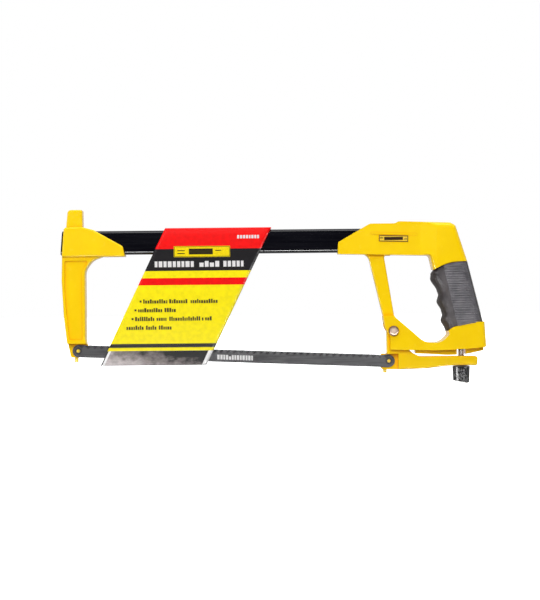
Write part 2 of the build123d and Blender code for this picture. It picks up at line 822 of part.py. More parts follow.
def main():
    os.makedirs("parts", exist_ok=True)
    save("frame_tube", make_tube())
    save("tube_end_plug", make_end_plug())
    save("front_casting", make_front_casting())
    save("front_blade_pin", blade_pin(0, 0))
    save("front_flush_pin", blunt(front_flush_pin()))
    save("front_socket_pins", front_pin_bodies())
    save("handle_casting", make_handle_casting())
    save("rubber_grip", make_grip())
    save("rear_socket_pins", rear_pin_bodies())
    save("pivot_rivet", make_pivot_rivet())
    save("pivot_washers", make_pivot_washers())
    save("name_plate", make_name_plate())
    save("tension_lever", make_lever())
    save("rear_blade_pin", blade_pin(REAR_X, REAR_Z))
    save("rear_flush_pin", blunt(rear_flush_pin()))
    save("tension_screw", make_screw())
    save("screw_trunnion", make_trunnion())
    save("thrust_washer", make_washer())
    save("knob_insert", make_insert())
    save("knob_body", make_knob())
    save("saw_blade", make_blade())
    save("card_sleeve", make_sleeve())


main()
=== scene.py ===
"""The hacksaw's looks: finishes for the CAD nodes, and finer pieces in place of the plain ones.

Places are in mm from the front blade pin, with X towards the handle and Z up, and at() turns them
into the row frame.
"""

import math
import random

import bpy
from mathutils import Matrix, Vector, noise


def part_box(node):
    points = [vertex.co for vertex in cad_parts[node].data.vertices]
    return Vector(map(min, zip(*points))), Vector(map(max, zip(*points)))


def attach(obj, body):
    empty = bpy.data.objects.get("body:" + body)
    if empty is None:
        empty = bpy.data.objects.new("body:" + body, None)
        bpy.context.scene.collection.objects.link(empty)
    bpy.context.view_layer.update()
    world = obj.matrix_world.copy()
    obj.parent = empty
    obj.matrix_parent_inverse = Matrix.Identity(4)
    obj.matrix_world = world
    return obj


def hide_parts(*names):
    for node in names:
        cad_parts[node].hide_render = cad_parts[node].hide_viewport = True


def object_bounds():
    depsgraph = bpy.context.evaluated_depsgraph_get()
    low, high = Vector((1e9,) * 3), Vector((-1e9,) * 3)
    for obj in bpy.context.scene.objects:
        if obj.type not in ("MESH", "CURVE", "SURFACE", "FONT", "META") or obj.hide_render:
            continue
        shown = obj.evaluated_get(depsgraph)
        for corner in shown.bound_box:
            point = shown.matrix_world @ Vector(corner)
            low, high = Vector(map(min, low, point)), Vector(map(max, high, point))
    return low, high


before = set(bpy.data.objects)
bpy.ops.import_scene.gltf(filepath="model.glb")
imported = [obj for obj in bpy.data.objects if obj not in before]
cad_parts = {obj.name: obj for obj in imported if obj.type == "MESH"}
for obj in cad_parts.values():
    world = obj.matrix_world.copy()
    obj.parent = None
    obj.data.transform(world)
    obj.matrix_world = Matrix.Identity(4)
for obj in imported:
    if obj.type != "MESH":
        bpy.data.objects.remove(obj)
cad_low, cad_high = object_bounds()

MM = 0.001


def middle(node):
    """The centre of a CAD node's box."""
    low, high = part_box(node)
    return (low + high) / 2


FRONT_PIN = middle("front_blade_pin")
REAR_PIN = middle("rear_blade_pin")
REAR_X = (REAR_PIN.x - FRONT_PIN.x) / MM
REAR_Z = (REAR_PIN.z - FRONT_PIN.z) / MM
TUBE_LOW, TUBE_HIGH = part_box("frame_tube")
TUBE_UNDER = (TUBE_LOW.z - FRONT_PIN.z) / MM
TUBE_TOP = (TUBE_HIGH.z - FRONT_PIN.z) / MM


def at(x, y, z):
    """A place in mm from the front blade pin, in the row frame."""
    return Vector((FRONT_PIN.x + x * MM, y * MM, FRONT_PIN.z + z * MM))


# ---------------------------------------------------------------- camera, floor and light
VIEW_X = 185.5          # what the picture's middle looks at
VIEW_Z = 47.5
VIEW_HEIGHT = 579.6     # mm that the picture covers from bottom to top
CAMERA_ROLL = 0.556     # degrees
LENS = 85.0
SENSOR = 36.0


def make_camera():
    data = bpy.data.cameras.new("camera")
    data.lens = LENS
    data.sensor_width = SENSOR
    data.clip_end = 50.0
    camera = bpy.data.objects.new("camera", data)
    bpy.context.scene.collection.objects.link(camera)
    distance = VIEW_HEIGHT * LENS / SENSOR
    turn = Matrix.Rotation(math.radians(90), 4, "X") @ Matrix.Rotation(math.radians(-CAMERA_ROLL), 4, "Z")
    camera.matrix_world = Matrix.Translation(at(VIEW_X, -distance, VIEW_Z)) @ turn
    bpy.context.scene.camera = camera


def node(tree, kind, inputs=None, **settings):
    """Adds a shader node; an input is a value, or a socket to link from."""
    made = tree.nodes.new("ShaderNode" + kind)
    for key, value in settings.items():
        setattr(made, key, value)
    for socket, value in (inputs or {}).items():
        if isinstance(value, bpy.types.NodeSocket):
            tree.links.new(value, made.inputs[socket])
        else:
            made.inputs[socket].default_value = value
    return made


def make_world():
    """White to the camera; to the object, a light tent that is darker in front, where the camera stands."""
    world = bpy.data.worlds.new("studio")
    bpy.context.scene.world = world
    world.use_nodes = True
    tree = world.node_tree
    tree.nodes.clear()
    direction = node(tree, "TexCoord").outputs["Generated"]
    parts = node(tree, "SeparateXYZ", {0: direction})
    ahead = node(tree, "MapRange", {0: parts.outputs["Y"], 1: -0.85, 2: 0.1, 3: 0.02, 4: 0.7})
    seen = node(tree, "LightPath").outputs["Is Camera Ray"]
    strength = node(tree, "Mix", {0: seen, 2: ahead.outputs[0], 3: 1.0}, data_type="FLOAT")
    back = node(tree, "Background", {0: (1, 1, 1, 1), 1: strength.outputs[0]})
    out = node(tree, "OutputWorld")
    tree.links.new(back.outputs[0], out.inputs[0])


def make_floor():
    """A large pale floor just under the knob, left out of the object's reflections, light and shadow."""
    size = 6.0
    below = 0.002
    mesh = bpy.data.meshes.new("floor")
    z = cad_low.z - below
    corners = [(-size, -size, z), (size, -size, z), (size, size, z), (-size, size, z)]
    mesh.from_pydata(corners, [], [(0, 1, 2, 3)])
    floor = bpy.data.objects.new("floor", mesh)
    bpy.context.scene.collection.objects.link(floor)
    material = bpy.data.materials.new("floor_white")
    material.use_nodes = True
    shader = material.node_tree.nodes["Principled BSDF"]
    shader.inputs["Base Color"].default_value = (0.85, 0.85, 0.85, 1)
    shader.inputs["Roughness"].default_value = 0.9
    shader.inputs["Emission Color"].default_value = (1, 1, 1, 1)
    shader.inputs["Emission Strength"].default_value = 1.0
    mesh.materials.append(material)
    floor.visible_diffuse = False
    floor.visible_glossy = False
    floor.visible_shadow = False


def area_light(name, place, target, size, power, in_reflections=True):
    data = bpy.data.lights.new(name, "AREA")
    data.shape = "RECTANGLE"
    data.size, data.size_y = size
    data.energy = power
    light = bpy.data.objects.new(name, data)
    bpy.context.scene.collection.objects.link(light)
    light.location = place
    light.rotation_euler = (target - place).to_track_quat("-Z", "Y").to_euler()
    light.visible_glossy = in_reflections
    light.visible_camera = False
    return light


def make_lights():
    """Soft fills in front, behind and above, and two glints that show only in reflections.

    The low glint stands below floor level and draws the bright line along the tube's lower edge.
    """
    target = at(VIEW_X, 0, VIEW_Z)
    front = target + Vector((-0.3, -1.6, 0.7))
    back = target + Vector((0.3, 1.6, 0.6))
    area_light("front_fill", front, target, (1.6, 1.2), 31, in_reflections=False)
    area_light("back_fill", back, target, (1.6, 1.2), 8, in_reflections=False)
    area_light("top_soft", target + Vector((0.2, -0.5, 1.4)), target, (1.4, 0.5), 8)
    glint = area_light("low_glint", target + Vector((0.0, -0.28, -0.17)), target, (1.8, 0.03), 9)
    glint.visible_diffuse = False
    window = area_light("side_glint", target + Vector((-0.9, -0.8, 0.5)), target, (0.25, 0.9), 3)
    window.visible_diffuse = False


# ---------------------------------------------------------------- finishes
PLATE_RAISED = 0.15     # how far the name plate's rim and bar stand out, less a margin
HOLE_SHADE_R = 3.4      # painted shade: a dark ring round the blade's holes
TOOTH_DARK_HIGH = 5.6        # the tooth row's dark band starts this far above the centre line at its highest
TOOTH_DARK_LOW = 2.4         # and this far at its lowest


def new_material(name, roughness, metallic=0.0, specular=0.5):
    material = bpy.data.materials.new(name)
    material.use_nodes = True
    shader = material.node_tree.nodes["Principled BSDF"]
    shader.inputs["Roughness"].default_value = roughness
    shader.inputs["Metallic"].default_value = metallic
    shader.inputs["Specular IOR Level"].default_value = specular
    return material, material.node_tree, shader


def places(tree):
    return node(tree, "TexCoord").outputs["Object"]


def grain(tree, scale, detail=3.0, stretch=(1, 1, 1)):
    """Noise over the object; scale is in cells per metre."""
    stretched = node(tree, "Mapping", {0: places(tree), 3: stretch})
    settings = {"Vector": stretched.outputs[0], "Scale": scale, "Detail": detail}
    return node(tree, "TexNoise", settings).outputs["Fac"]


def two_tone(tree, shader, value, first, second, low=0.35, high=0.65):
    """Base colour running from the first to the second as value goes from low to high."""
    share = node(tree, "MapRange", {0: value, 1: low, 2: high})
    mix = node(tree, "Mix", {0: share.outputs[0], 6: (*first, 1), 7: (*second, 1)}, data_type="RGBA")
    tree.links.new(mix.outputs[2], shader.inputs["Base Color"])
    return mix.outputs[2]


def bump(tree, shader, height, distance, strength=1.0):
    made = node(tree, "Bump", {"Height": height, "Distance": distance * MM, "Strength": strength})
    tree.links.new(made.outputs[0], shader.inputs["Normal"])


def uneven_gloss(tree, shader, value, low, high):
    rough = node(tree, "MapRange", {0: value, 1: 0.3, 2: 0.7, 3: low, 4: high})
    tree.links.new(rough.outputs[0], shader.inputs["Roughness"])


def powder_coat():
    """Yellow powder coat with its orange-peel surface, and painted shade: deeper orange in the corners and
    recesses, found by ambient occlusion.
    """
    material, tree, shader = new_material("powder_coat_yellow", 0.24, specular=0.15)
    shader.inputs["Coat Weight"].default_value = 0.4
    shader.inputs["Coat Roughness"].default_value = 0.08
    tone = two_tone(tree, shader, grain(tree, 60), (0.96, 0.62, 0.0), (0.99, 0.66, 0.0))
    # painted shade: where ambient occlusion finds a corner, the coat turns a deeper orange
    corners = node(tree, "AmbientOcclusion", {"Distance": 5 * MM}, samples=6).outputs["AO"]
    corner_painted_shade = node(tree, "MapRange", {0: corners, 1: 0.45, 2: 0.95})
    mix = node(
        tree, "Mix", {0: corner_painted_shade.outputs[0], 6: (0.88, 0.38, 0.0, 1), 7: tone}, data_type="RGBA"
    )
    tree.links.new(mix.outputs[2], shader.inputs["Base Color"])
    uneven_gloss(tree, shader, grain(tree, 240), 0.2, 0.28)
    bump(tree, shader, grain(tree, 620, 2), 0.05)
    return material


def black_tube():
    """Black gloss coat over drawn tube, with faint marks along its length."""
    material, tree, shader = new_material("tube_black_gloss", 0.1, specular=0.5)
    along = grain(tree, 500, 3, stretch=(0.03, 1, 1))
    two_tone(tree, shader, along, (0.002, 0.002, 0.004), (0.006, 0.006, 0.009))
    uneven_gloss(tree, shader, along, 0.07, 0.13)
    bump(tree, shader, along, 0.02)
    return material


def matt_plastic(name, dark, light):
    material, tree, shader = new_material(name, 0.55)
    two_tone(tree, shader, grain(tree, 900), dark, light)
    bump(tree, shader, grain(tree, 1500, 2), 0.03)
    return material


def gloss_plastic():
    material, tree, shader = new_material("knob_black_gloss", 0.16)
    value = grain(tree, 300)
    two_tone(tree, shader, value, (0.007, 0.007, 0.008), (0.016, 0.015, 0.017))
    uneven_gloss(tree, shader, value, 0.16, 0.26)
    bump(tree, shader, grain(tree, 800, 2), 0.02)
    return material


def steel(name, dark, light, roughness, stretch=(1, 1, 1), scale=700):
    """Bare or plated steel with fine marks."""
    material, tree, shader = new_material(name, roughness, metallic=1.0)
    value = grain(tree, scale, 4, stretch)
    two_tone(tree, shader, value, dark, light)
    uneven_gloss(tree, shader, value, roughness * 0.75, roughness * 1.4)
    bump(tree, shader, value, 0.02)
    return material


def rivet_head():
    """Lighter on the crown of the rivet's head as a painted highlight, and darker towards its rim as
    painted shade.
    """
    material, tree, shader = new_material("rivet_painted_highlight", 0.34, metallic=0.55)
    low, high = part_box("pivot_rivet")
    centre = (low + high) / 2
    parts = node(tree, "SeparateXYZ", {0: places(tree)})
    level = node(tree, "CombineXYZ", {0: parts.outputs["X"], 1: centre.y, 2: parts.outputs["Z"]})
    away = node(tree, "VectorMath", {0: level.outputs[0], 1: centre}, operation="DISTANCE")
    radius = (high.x - low.x) / 2
    # painted highlight on the crown, painted shade at the rim
    crown, rim = (0.62, 0.47, 0.38), (0.10, 0.045, 0.02)
    two_tone(tree, shader, away.outputs["Value"], crown, rim, 0.3 * radius, radius)
    bump(tree, shader, grain(tree, 400, 4), 0.02)
    return material


def painted_pin():
    """Yellow paint over a steel pin, a little uneven in tone."""
    material, tree, shader = new_material("pin_painted_yellow", 0.35)
    two_tone(tree, shader, grain(tree, 900, 4), (0.90, 0.60, 0.01), (0.98, 0.72, 0.05))
    bump(tree, shader, grain(tree, 1200, 2), 0.03)
    return material


def rubber(name, dark, light, roughness):
    """Moulded rubber with a fine grain and slightly paler patches."""
    material, tree, shader = new_material(name, roughness, specular=0.35)
    two_tone(tree, shader, grain(tree, 120, 5), dark, light)
    uneven_gloss(tree, shader, grain(tree, 300), roughness - 0.1, roughness + 0.1)
    bump(tree, shader, grain(tree, 1800, 2), 0.06)
    return material


def plate_print():
    """Foil plate: pale yellow, with dark ink on its raised rim and bar."""
    material, tree, shader = new_material("plate_foil", 0.32)
    depth = node(tree, "SeparateXYZ", {0: places(tree)}).outputs["Y"]
    raised_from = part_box("name_plate")[0].y + PLATE_RAISED * MM
    raised = node(tree, "Math", {0: depth, 1: raised_from}, operation="LESS_THAN").outputs[0]
    two_tone(tree, shader, raised, (0.93, 0.62, 0.03), (0.035, 0.012, 0.008), 0.0, 1.0)
    bump(tree, shader, grain(tree, 1500, 2), 0.02)
    return material


def blade_paint():
    """Dark painted steel, with fine marks along it, darker at the tooth row, and a ring of painted shade
    round each hole.
    """
    material, tree, shader = new_material("blade_dark", 0.38, specular=0.35)
    along = grain(tree, 900, 4, stretch=(0.05, 1, 1))
    tone = two_tone(tree, shader, along, (0.018, 0.018, 0.020), (0.042, 0.041, 0.045))
    parts = node(tree, "SeparateXYZ", {0: places(tree)})
    dark = tooth_row_dark(tree, parts)
    # a ring of painted shade round each hole
    for pin in (FRONT_PIN, REAR_PIN):
        level = node(tree, "CombineXYZ", {0: parts.outputs["X"], 1: pin.y, 2: parts.outputs["Z"]})
        away = node(tree, "VectorMath", {0: level.outputs[0], 1: pin}, operation="DISTANCE")
        ring = node(tree, "Math", {0: away.outputs["Value"], 1: HOLE_SHADE_R * MM}, operation="LESS_THAN")
        dark = node(tree, "Math", {0: dark, 1: ring.outputs[0]}, operation="MAXIMUM").outputs[0]
    mix = node(tree, "Mix", {0: dark, 6: tone, 7: (0.004, 0.004, 0.005, 1)}, data_type="RGBA")
    tree.links.new(mix.outputs[2], shader.inputs["Base Color"])
    uneven_gloss(tree, shader, along, 0.32, 0.45)
    bump(tree, shader, along, 0.03)
    return material


def tooth_row_dark(tree, parts):
    """1 where the blade is darker above its centre line, reaching lower once each set wave."""
    slope = (REAR_PIN.z - FRONT_PIN.z) / (REAR_PIN.x - FRONT_PIN.x)
    offset = FRONT_PIN.x * slope - FRONT_PIN.z
    line = node(tree, "Math", {0: parts.outputs["X"], 1: -slope, 2: offset}, operation="MULTIPLY_ADD")
    height = node(tree, "Math", {0: parts.outputs["Z"], 1: line.outputs[0]}, operation="ADD")
    turn = 2 * math.pi / (SET_WAVE * MM)
    phase = node(tree, "Math", {0: parts.outputs["X"], 1: turn}, operation="MULTIPLY")
    wave = node(tree, "Math", {0: phase.outputs[0]}, operation="SINE")
    high, low = TOOTH_DARK_HIGH * MM, TOOTH_DARK_LOW * MM
    reach = node(tree, "MapRange", {0: wave.outputs[0], 1: -1.0, 2: 1.0, 3: high, 4: low})
    above = node(tree, "Math", {0: height.outputs[0], 1: reach.outputs[0]}, operation="GREATER_THAN")
    return above.outputs[0]


def ink(name, colour, roughness=0.4):
    """Printed ink, a little uneven."""
    material, tree, shader = new_material(name, roughness, specular=0.15)
    deep = tuple(0.8 * part for part in colour)
    two_tone(tree, shader, grain(tree, 1500, 3), deep, colour)
    return material


# ---------------------------------------------------------------- meshes
def add_piece(name, vertices, faces, material, body, smooth=True):
    """A mesh piece in the row frame that rides on a body."""
    mesh = bpy.data.meshes.new(name)
    mesh.from_pydata([tuple(v) for v in vertices], [], faces)
    mesh.validate()
    mesh.materials.append(material)
    for polygon in mesh.polygons:
        polygon.use_smooth = smooth
    piece = bpy.data.objects.new(name, mesh)
    bpy.context.scene.collection.objects.link(piece)
    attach(piece, body)
    return piece


def smooth_by_angle(piece, degrees):
    """Smooth shading that keeps edges sharper than the angle."""
    mesh = piece.data
    mesh.set_sharp_from_angle(angle=math.radians(degrees))


def ring_faces(rings, around, closed_ends=True):
    """Faces of a tube of rings of vertices, capped at both ends."""
    faces = []
    for i in range(rings - 1):
        for j in range(around):
            k = (j + 1) % around
            faces.append((i * around + j, i * around + k, (i + 1) * around + k, (i + 1) * around + j))
    if closed_ends:
        faces.append(tuple(reversed(range(around))))
        faces.append(tuple((rings - 1) * around + j for j in range(around)))
    return faces


def finish_nodes():
    """Gives every CAD node that shows its material."""
    yellow = powder_coat()
    pin_yellow = painted_pin()
    zinc = steel("zinc_plate", (0.50, 0.50, 0.50), (0.74, 0.74, 0.72), 0.3)
    bare = steel("pin_end_steel", (0.35, 0.34, 0.32), (0.62, 0.60, 0.57), 0.35)
    brass = steel("brass_insert", (0.62, 0.40, 0.13), (0.80, 0.56, 0.22), 0.28)
    finishes = {
        "front_casting": yellow,
        "handle_casting": yellow,
        "tension_lever": yellow,
        "frame_tube": black_tube(),
        "tube_end_plug": matt_plastic("plug_black", (0.010, 0.010, 0.011), (0.022, 0.022, 0.024)),
        "front_blade_pin": pin_yellow,
        "rear_blade_pin": pin_yellow,
        "front_flush_pin": pin_yellow,
        "rear_flush_pin": pin_yellow,
        "front_socket_pins": bare,
        "rear_socket_pins": bare,
        "pivot_rivet": rivet_head(),
        "pivot_washers": zinc,
        "screw_trunnion": zinc,
        "thrust_washer": zinc,
        "knob_insert": brass,
        "knob_body": gloss_plastic(),
        "name_plate": plate_print(),
    }
    for name, material in finishes.items():
        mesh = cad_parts[name].data
        mesh.materials.clear()
        mesh.materials.append(material)


# ---------------------------------------------------------------- blade
TOOTH_PITCH = 25.4 / 24
TOOTH_DEPTH = 0.75
SET_WAVE = 6.4          # length of one wave of the wavy set
SET_OUT = 0.28
BLADE_HALF_HEIGHT = 6.15
BLADE_HALF_THICK = 0.325
BLADE_HOLE_R = 2.2
BLADE_END = 6.2         # hole centre to the end of the blade
HOLE_SPAN = 298.9       # between the hole centres


def blade_place(s, y, h):
    """A place on the blade: s along it from its middle, h above its centre line."""
    tilt = math.atan2(-REAR_Z, REAR_X)
    x = REAR_X / 2 + s * math.cos(tilt) + h * math.sin(tilt)
    z = REAR_Z / 2 - s * math.sin(tilt) + h * math.cos(tilt)
    return at(x, y, z)


def make_blade(material):
    """The blade body in columns along its length, with the teeth and their wavy set on its top edge."""
    half = HOLE_SPAN / 2
    toothed = half - 9.0
    count = int(2 * toothed / TOOTH_PITCH)
    columns = end_columns(-half)
    start = -count * TOOTH_PITCH / 2
    for i in range(count):
        s = start + i * TOOTH_PITCH
        columns.append((s, BLADE_HALF_HEIGHT - TOOTH_DEPTH, -BLADE_HALF_HEIGHT))
        columns.append((s + 0.12 * TOOTH_PITCH, BLADE_HALF_HEIGHT, -BLADE_HALF_HEIGHT))
    columns.append((start + count * TOOTH_PITCH, BLADE_HALF_HEIGHT - TOOTH_DEPTH, -BLADE_HALF_HEIGHT))
    columns += [(-s, top, under) for s, top, under in reversed(end_columns(-half))]
    vertices = []
    for s, top, under in columns:
        wave = SET_OUT * math.sin(2 * math.pi * s / SET_WAVE) if abs(s) < toothed else 0.0
        for side in (-1, 1):
            y = side * BLADE_HALF_THICK
            vertices.append(blade_place(s, y, under))
            vertices.append(blade_place(s, y, max(under, min(3.6, top))))
            vertices.append(blade_place(s, y + wave, top))
    faces = []
    rows = 3
    for i in range(len(columns) - 1):
        a, b = 2 * rows * i, 2 * rows * (i + 1)
        for r in range(rows - 1):
            faces.append((a + r, b + r, b + r + 1, a + r + 1))
            faces.append((a + rows + r + 1, b + rows + r + 1, b + rows + r, a + rows + r))
        faces.append((a + 2, b + 2, b + 5, a + 5))
        faces.append((a + 3, b + 3, b, a))
    last = 2 * rows * (len(columns) - 1)
    faces.append((0, 1, 2, 5, 4, 3))
    faces.append((last + 3, last + 4, last + 5, last + 2, last + 1, last))
    blade = add_piece("blade_toothed", vertices, faces, material, "blade", smooth=False)
    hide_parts("saw_blade")
    for sign in (-1, 1):
        punch_hole(blade, sign * half)


def end_columns(hole):
    """The rounded plain end of the blade, as columns from its tip to the first tooth."""
    tip = hole - BLADE_END
    columns = []
    radius = BLADE_END
    for i in range(9):
        angle = math.radians(90 * i / 8)
        s = tip + radius * (1 - math.cos(angle))
        h = BLADE_HALF_HEIGHT - radius * (1 - math.sin(angle))
        columns.append((s, max(h, 0.06), -max(h, 0.06)))
    return columns


def punch_hole(blade, s):
    """Cuts a blade hole with a boolean, applied to the mesh."""
    around = 32
    vertices = []
    for y in (-3.0, 3.0):
        for j in range(around):
            angle = 2 * math.pi * j / around
            ahead, up = BLADE_HOLE_R * math.cos(angle), BLADE_HOLE_R * math.sin(angle)
            vertices.append(blade_place(s + ahead, y, up))
    mesh = bpy.data.meshes.new("hole_tool")
    mesh.from_pydata([tuple(v) for v in vertices], [], ring_faces(2, around))
    tool = bpy.data.objects.new("hole_tool", mesh)
    bpy.context.scene.collection.objects.link(tool)
    cut = blade.modifiers.new("hole", "BOOLEAN")
    cut.operation = "DIFFERENCE"
    cut.solver = "EXACT"
    cut.object = tool
    bpy.context.view_layer.update()
    evaluated = blade.evaluated_get(bpy.context.evaluated_depsgraph_get())
    result = bpy.data.meshes.new_from_object(evaluated)
    blade.modifiers.clear()
    blade.data = result
    bpy.data.objects.remove(tool)


def on_blade(x, z, lift):
    return at(x, -BLADE_HALF_THICK - lift, z + (x - 150.0) * REAR_Z / REAR_X)


def make_blade_print():
    """A row of plain white blocks on the blade's near face, where its size is printed."""
    blocks = letter_blocks(134.0, 169.0, -10.0, -5.4, 2.1, 0.7, 20, short=0.2)
    vertices, faces = [], []
    for block in blocks:
        ink_block(vertices, faces, on_blade, *block)
    material = ink("blade_ink_white", (0.75, 0.74, 0.74), 0.4)
    add_piece("blade_print", vertices, faces, material, "blade", smooth=False)


# ---------------------------------------------------------------- grip
GRIP_HALF = 14.4
GRIP_LENGTH = 62.0
GRIP_RIB_PITCH = 2.3
GRIP_RIB_DEEP = 0.75
GRIP_ROWS = 165
PANEL_FRONT = 0.27      # the ribbed side panel, as shares of the way from the front edge to the back
PANEL_BACK = 0.91
# front to back: share of the way, share of the half width
GRIP_SECTION = [
    (0.0, 0.0), (0.01, 0.22), (0.035, 0.45), (0.08, 0.67), (0.14, 0.81), (0.22, 0.91), (0.29, 0.98),
    (0.35, 1.0),
    (0.55, 1.0), (0.72, 1.0), (0.82, 0.95), (0.89, 0.84), (0.95, 0.62), (0.985, 0.34), (1.0, 0.0),
]
# edges where the rubber meets the casting, front to back
GRIP_TOP = [
    (343.2, 75.4), (348.7, 78.0), (354.1, 80.0), (359.6, 81.4), (365.1, 82.2), (370.5, 82.7), (376.2, 82.9),
]
GRIP_BOTTOM = [
    (355.4, 15.8), (361.4, 19.5), (367.2, 21.2), (373.0, 22.4), (378.8, 23.4), (384.6, 24.2), (390.6, 24.9),
]
# share of the height, how far the front edge stands out
GRIP_BUMPS = [
    (0.0, 0.5), (0.04, 1.1), (0.17, 3.3), (0.28, 0.7), (0.34, 0.9), (0.47, 3.3), (0.60, 0.4),
    (0.66, 0.9), (0.84, 4.8), (0.92, 3.6), (1.0, 0.3),
]


def smooth_step(low, high, value):
    t = max(0.0, min(1.0, (value - low) / (high - low)))
    return t * t * (3 - 2 * t)


def between(table, share):
    """The value of a table of (share, value) rows at a share, eased from row to row."""
    for (low, first), (high, second) in zip(table, table[1:]):
        if share <= high:
            return first + (second - first) * smooth_step(low, high, share)
    return table[-1][1]


def along_edge(points, share):
    """A place on an edge given by evenly spaced points."""
    place = share * (len(points) - 1)
    i = min(int(place), len(points) - 2)
    t = place - i
    return [a + (b - a) * t for a, b in zip(points[i], points[i + 1])]


def grip_loop(steps=4):
    """The section as (share of the way back, signed share of the half width), once round."""
    near = []
    for (u0, y0), (u1, y1) in zip(GRIP_SECTION, GRIP_SECTION[1:]):
        near += [(u0 + (u1 - u0) * k / steps, y0 + (y1 - y0) * k / steps) for k in range(steps)]
    near.append(GRIP_SECTION[-1])
    return [(u, -y) for u, y in near] + list(reversed(near[1:-1]))


def make_grip(panel_rubber, band_rubber):
    """A rounded sleeve of rubber: ribbed side panels, smooth front with finger bumps, smooth back."""
    loop = grip_loop()
    vertices = []
    for i in range(GRIP_ROWS):
        v = i / (GRIP_ROWS - 1)
        from_end = min(v, 1 - v) * GRIP_LENGTH
        end_round = smooth_step(0.0, 1.6, from_end)
        for u, y in loop:
            low = along_edge(GRIP_BOTTOM, u)
            high = along_edge(GRIP_TOP, u)
            x = low[0] + (high[0] - low[0]) * v - between(GRIP_BUMPS, v) * max(0.0, 1 - u / 0.34) ** 1.3
            z = low[1] + (high[1] - low[1]) * v
            on_panel = smooth_step(PANEL_FRONT - 0.01, PANEL_FRONT + 0.03, u)
            on_panel *= 1 - smooth_step(PANEL_BACK - 0.03, PANEL_BACK + 0.01, u)
            on_panel *= smooth_step(1.5, 3.0, from_end)
            groove = 1 - abs(math.sin(math.pi * z / GRIP_RIB_PITCH)) ** 0.7
            half = GRIP_HALF - 0.7 * (1 - end_round) - GRIP_RIB_DEEP * groove * on_panel
            vertices.append(at(x, y * half, z))
    faces = ring_faces(GRIP_ROWS, len(loop))
    grip = add_piece("grip_sleeve", vertices, faces, band_rubber, "frame")
    grip.data.materials.append(panel_rubber)
    around = len(loop)
    # the front and back bands take the darker rubber: painted shade where the grip turns away from the
    # light
    for polygon in grip.data.polygons:
        if len(polygon.vertices) == 4:
            u = loop[min(polygon.vertices) % around][0]
            polygon.material_index = int(PANEL_FRONT < u < PANEL_BACK)
    smooth_by_angle(grip, 60)
    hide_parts("rubber_grip")


# ---------------------------------------------------------------- screw
THREAD_PITCH = 1.0
THREAD_DEEP = 0.55


def make_screw(material):
    """A rolled thread over the CAD screw's length."""
    low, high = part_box("tension_screw")
    centre = (low + high) / 2
    radius = (high.x - low.x) / 2
    length = high.z - low.z
    around = 24
    rows_per_turn = 6
    rows = int(length / (THREAD_PITCH * MM) * rows_per_turn) + 1
    vertices = []
    for i in range(rows):
        z = low.z + length * i / (rows - 1)
        from_end = min(z - low.z, high.z - z) / MM
        for j in range(around):
            turn = j / around
            phase = (from_low(z, low) / THREAD_PITCH + turn) % 1.0
            crest = 1 - abs(2 * phase - 1)
            thin = max(0.0, 0.6 - from_end)
            r = radius - (THREAD_DEEP * (1 - crest) + thin) * MM
            angle = 2 * math.pi * turn
            vertices.append((centre.x + r * math.cos(angle), centre.y - r * math.sin(angle), z))
    faces = [tuple(reversed(face)) for face in ring_faces(rows, around)]
    screw = add_piece("screw_threaded", vertices, faces, material, "screw")
    smooth_by_angle(screw, 50)
    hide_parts("tension_screw")


def from_low(z, low):
    return (z - low.z) / MM


# ---------------------------------------------------------------- card sleeve
CARD_LEFT = 84.3
CARD_WIDTH = 102.0
CARD_RAKE = 0.482
CARD_THICK = 0.45
CARD_FOOT = -14.6
STRIP_TOP = -0.5        # top of the mirrored strip along the fold
BANDS_TOP = 120.0       # end of the height range that the printed bands are placed in
CARD_FOOT_HALF = 2.6
CARD_HALF = 7.0
CARD_CREASE = TUBE_UNDER + 3.0
CARD_TOP = TUBE_TOP + 2.2
# from the bottom up: where each printed band starts
CARD_BANDS = [
    (CARD_FOOT, "strip"), (STRIP_TOP, "yellow"), (2.5, "black"), (6.2, "yellow"),
    (62.5, "red"), (69.0, "yellow"), (76.0, "black"), (97.3, "red"),
]
CARD_COLOURS = {
    "strip": (0.40, 0.38, 0.37),
    "yellow": (0.96, 0.80, 0.0),
    "black": (0.014, 0.013, 0.015),
    "red": (0.90, 0.0, 0.0),
}


def card_half(z):
    """Half width of the sleeve at a height."""
    if z > CARD_CREASE:
        return CARD_HALF
    return CARD_FOOT_HALF + (CARD_HALF - CARD_FOOT_HALF) * (z - CARD_FOOT) / (CARD_CREASE - CARD_FOOT)


def card_wave(x, z):
    """A slight waviness of the card between tube and fold."""
    share = max(0.0, min(1.0, (z - CARD_FOOT) / (CARD_CREASE - CARD_FOOT)))
    free = math.sin(math.pi * share) if share < 1 else 0.0
    return free * (0.35 + 0.5 * noise.noise(Vector((x / 38.0, z / 45.0, 3.0))))


def card_front(x, z, lift=0.0):
    """Y of the card's front face, lifted off it."""
    return -(card_half(z) + card_wave(x, z)) - lift


def card_edge(z):
    """X of the card's slanted left edge."""
    return CARD_LEFT + CARD_RAKE * (z - TUBE_TOP)


def sleeve_loop():
    """The sleeve's section, anticlockwise from the bottom fold: (side, height) with side -1 in front."""
    heights = [CARD_FOOT + 0.9 + (CARD_CREASE - CARD_FOOT - 0.9) * i / 26 for i in range(27)]
    upper = [CARD_CREASE + (CARD_TOP - 2.0 - CARD_CREASE) * i / 4 for i in range(1, 5)]
    loop = [(0.0, CARD_FOOT), (0.62, CARD_FOOT + 0.25)]
    loop += [(1.0, z) for z in heights + upper]
    loop += [(0.93, CARD_TOP - 0.8), (0.75, CARD_TOP - 0.15), (0.5, CARD_TOP), (0.0, CARD_TOP)]
    mirrored = [(-side, z) for side, z in reversed(loop[1:-1])]
    return loop + mirrored


